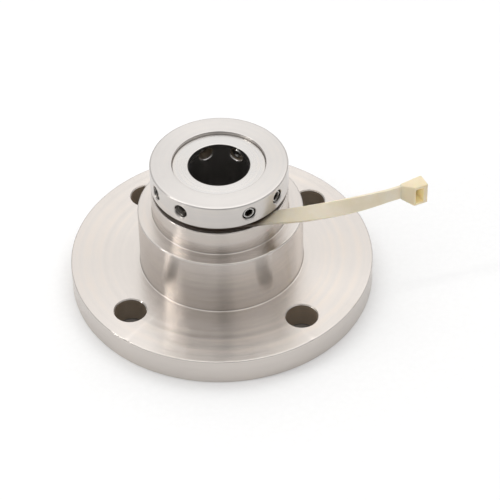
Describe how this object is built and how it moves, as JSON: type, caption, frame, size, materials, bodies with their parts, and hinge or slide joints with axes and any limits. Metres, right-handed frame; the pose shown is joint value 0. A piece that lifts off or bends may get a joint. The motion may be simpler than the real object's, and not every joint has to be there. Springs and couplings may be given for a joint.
{
  "type": "cartridge mechanical seal",
  "caption": "Flanged cartridge mechanical seal: stepped hub and flange, sleeve and drive collar with radial set screws, spring-loaded face inside, and a nylon tie in its setting gap.",
  "frame": {"origin": "centre of the flange's underside, on the shaft's axis", "axes": "+Z along the shaft, out of the machine, towards the drive collar; the tie's free end points roughly along +X"},
  "size_m": [0.2047, 0.175, 0.0869],
  "materials": {
    "stainless_body": "turned stainless steel",
    "stainless_sleeve": "turned stainless steel",
    "stainless_collar": "faced stainless steel",
    "stainless_pin": "ground stainless steel",
    "screw_steel": "bright stainless screw",
    "spring_steel": "bright spring strip",
    "seat_ceramic": "lapped silicon carbide",
    "carbon": "lapped carbon graphite",
    "elastomer": "smooth rubber",
    "gasket": "skived sheet",
    "nylon": "aged ivory nylon"
  },
  "bodies": {
    "gland": {"gland_body": "stainless_body", "gland_gasket": "gasket", "stationary_seat": "seat_ceramic", "seat_o_ring": "elastomer", "seat_pin_1": "stainless_pin", "seat_pin_2": "stainless_pin", "nylon_tie": "nylon"},
    "rotor": {"shaft_sleeve": "stainless_sleeve", "sleeve_o_ring": "elastomer", "drive_collar": "stainless_collar", "drive_set_screws": "screw_steel", "clamp_set_screws": "screw_steel", "spring_holder": "stainless_sleeve", "drive_pin_1": "stainless_pin", "drive_pin_2": "stainless_pin", "drive_pin_3": "stainless_pin"},
    "face": {"thrust_ring": "stainless_sleeve", "rotary_face": "carbon", "face_o_ring": "elastomer", "wave_spring": "spring_steel"}
  },
  "joints": [
    {"name": "rotor_spin", "type": "hinge", "parent": "gland", "child": "rotor", "pos_m": [0, 0, 0.044], "axis": [0, 0, 1], "continuous": true},
    {"name": "face_float", "type": "slide", "parent": "rotor", "child": "face", "axis": [0, 0, 1], "range_m": [-0.002, 0], "stiffness_N_per_m": 20000, "deforming": ["wave_spring"]}
  ]
}
